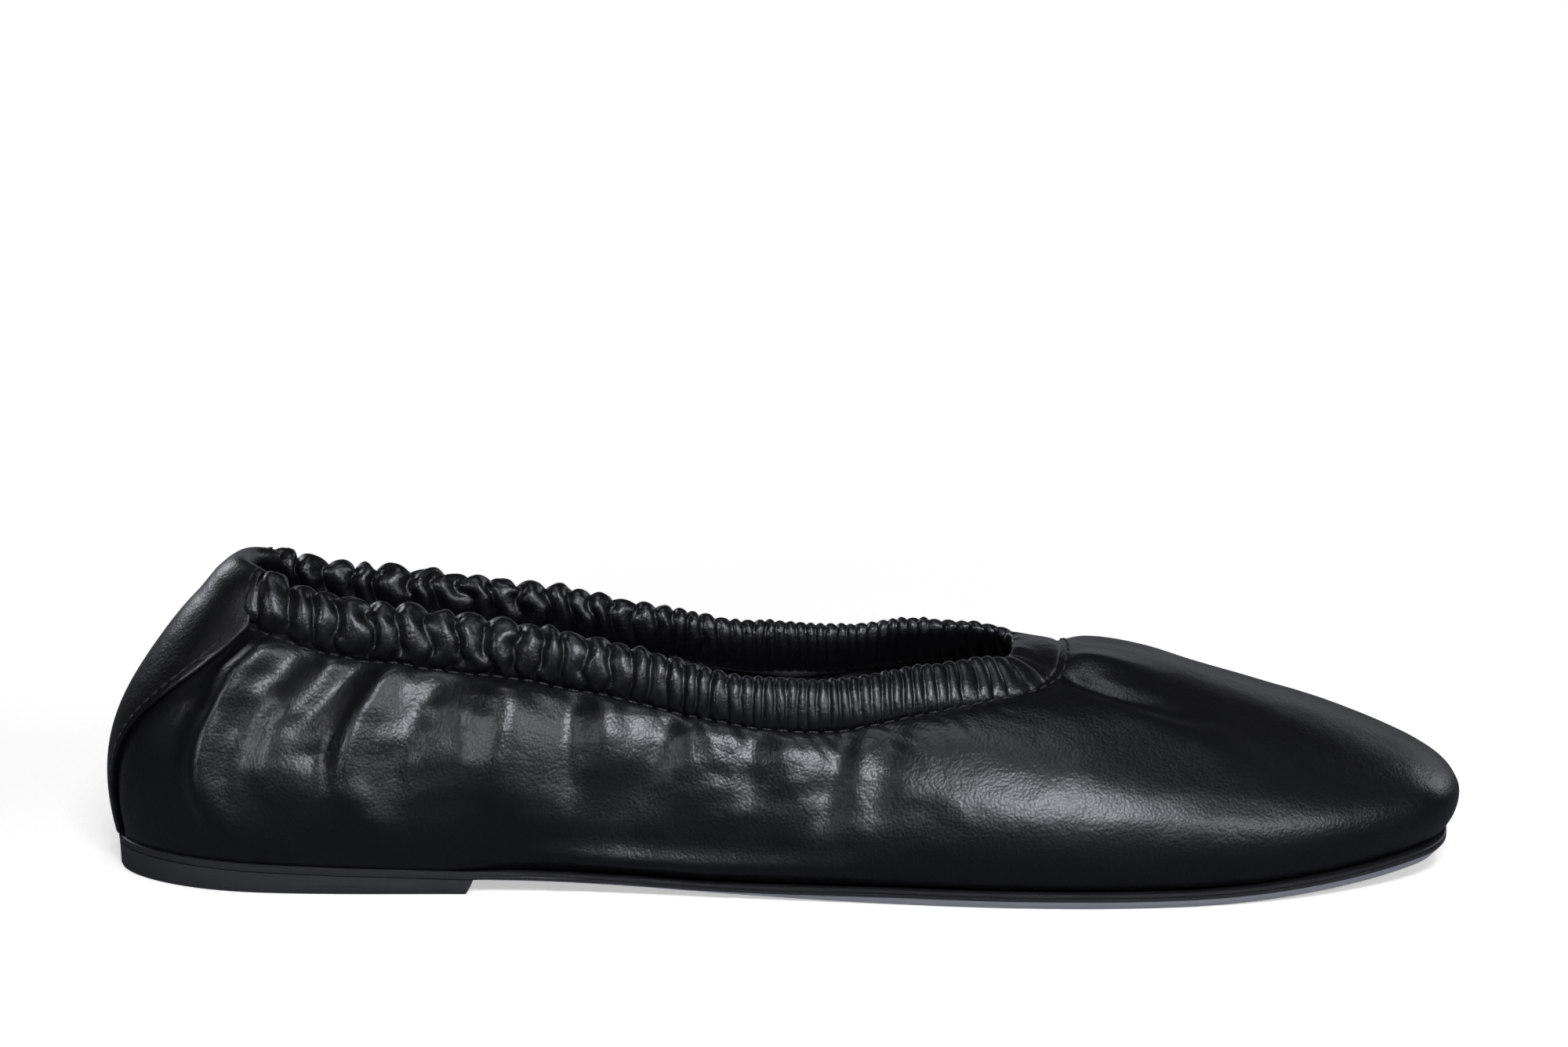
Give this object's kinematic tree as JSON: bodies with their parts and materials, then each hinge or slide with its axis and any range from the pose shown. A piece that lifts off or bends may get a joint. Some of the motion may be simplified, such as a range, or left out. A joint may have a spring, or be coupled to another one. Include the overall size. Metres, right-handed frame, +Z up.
{
  "type": "ballet flat",
  "caption": "Soft leather ballet flat with a gathered elastic collar, flat throat tab, soft square toe, thin sole and low heel lift.",
  "frame": {"origin": "on the floor, under the middle of the whole shoe's bounding box", "axes": "+X from heel to toe, +Y towards the inner (medial) side of the foot, +Z up"},
  "size_m": [0.249, 0.081, 0.0576],
  "materials": {
    "black_nappa": "soft black nappa with a satin sheen and a fine pebbled grain",
    "black_lining": "matt black lining leather",
    "black_sole": "matt black sole with a blue-grey bevel under the forepart",
    "grey_black_heel": "matt dark grey heel"
  },
  "bodies": {
    "root": {"upper": "black_nappa", "casing_lateral": "black_nappa", "casing_medial": "black_nappa", "throat_tab": "black_nappa", "back_panel": "black_nappa", "insole": "black_lining", "outsole": "black_sole", "heel_lift": "grey_black_heel"}
  },
  "joints": []
}
